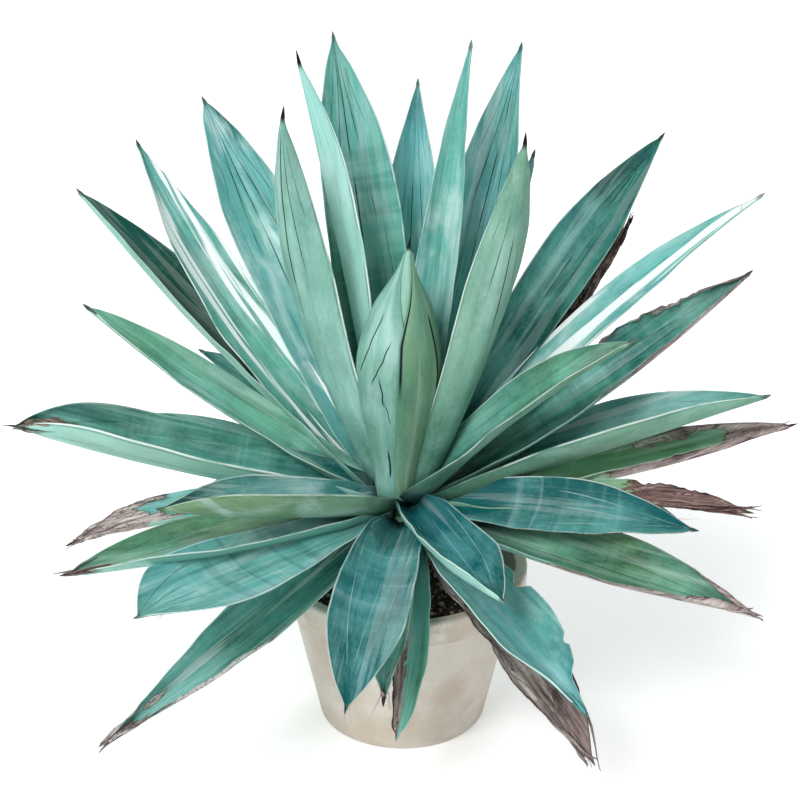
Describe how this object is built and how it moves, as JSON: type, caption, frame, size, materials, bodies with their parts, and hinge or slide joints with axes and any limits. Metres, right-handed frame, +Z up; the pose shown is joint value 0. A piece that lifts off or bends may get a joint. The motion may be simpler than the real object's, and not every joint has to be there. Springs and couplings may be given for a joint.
{
  "type": "potted blue agave",
  "caption": "Rosette succulent with long channelled spine-tipped blue leaves round a pointed central bud, on a short stem in a plain round pot filled with gritty soil.",
  "frame": {"origin": "middle of the pot's underside, on the surface that the pot stands on", "axes": "+Z up through the middle of the pot, -Y towards the front of the plant, +X to its right"},
  "size_m": [0.9059, 0.7358, 0.8007],
  "materials": {
    "blue_leaf": "waxy blue-green leaf skin, satin, with a fine lengthwise grain",
    "young_leaf": "waxy pale green leaf skin, satin",
    "dry_leaf": "dry grey-brown wrinkled leaf, matt",
    "stem": "fibrous pale brown stem with leaf scars, matt",
    "soil": "gritty dark soil with small stones, matt",
    "pot": "unglazed pale grey-white stoneware, matt"
  },
  "bodies": {
    "root": {"pot": "pot", "soil": "soil", "stem": "stem", "bud_core": "young_leaf", "bud_leaf_left": "young_leaf", "bud_leaf_back": "young_leaf", "bud_leaf_right": "young_leaf", "inner_leaf_1": "young_leaf", "inner_leaf_2": "young_leaf", "inner_leaf_3": "young_leaf", "inner_leaf_4": "young_leaf", "inner_leaf_5": "young_leaf", "inner_leaf_6": "young_leaf", "inner_leaf_7": "young_leaf", "upper_leaf_1": "blue_leaf", "upper_leaf_2": "blue_leaf", "upper_leaf_3": "blue_leaf", "upper_leaf_4": "blue_leaf", "upper_leaf_5": "blue_leaf", "upper_leaf_6": "blue_leaf", "upper_leaf_7": "blue_leaf", "upper_leaf_8": "blue_leaf", "upper_leaf_9": "blue_leaf", "upper_leaf_10": "blue_leaf", "upper_leaf_11": "blue_leaf", "upper_leaf_12": "blue_leaf", "upper_leaf_13": "blue_leaf", "upper_leaf_14": "blue_leaf", "middle_leaf_1": "blue_leaf", "middle_leaf_2": "blue_leaf", "middle_leaf_3": "blue_leaf", "middle_leaf_4": "blue_leaf", "middle_leaf_5": "blue_leaf", "middle_leaf_6": "blue_leaf", "middle_leaf_7": "blue_leaf", "middle_leaf_8": "dry_leaf", "middle_leaf_9": "dry_leaf", "middle_leaf_10": "dry_leaf", "middle_leaf_11": "blue_leaf", "middle_leaf_12": "blue_leaf", "lower_leaf_1": "blue_leaf", "lower_leaf_2": "blue_leaf", "lower_leaf_3": "blue_leaf", "lower_leaf_4": "blue_leaf", "lower_leaf_5": "blue_leaf", "lower_leaf_6": "blue_leaf", "lower_leaf_7": "blue_leaf", "skirt_leaf_1": "blue_leaf", "skirt_leaf_2": "blue_leaf", "skirt_leaf_3": "dry_leaf", "skirt_leaf_4": "blue_leaf", "skirt_leaf_5": "blue_leaf", "skirt_leaf_6": "blue_leaf", "skirt_leaf_7": "blue_leaf", "skirt_leaf_8": "blue_leaf"}
  },
  "joints": []
}
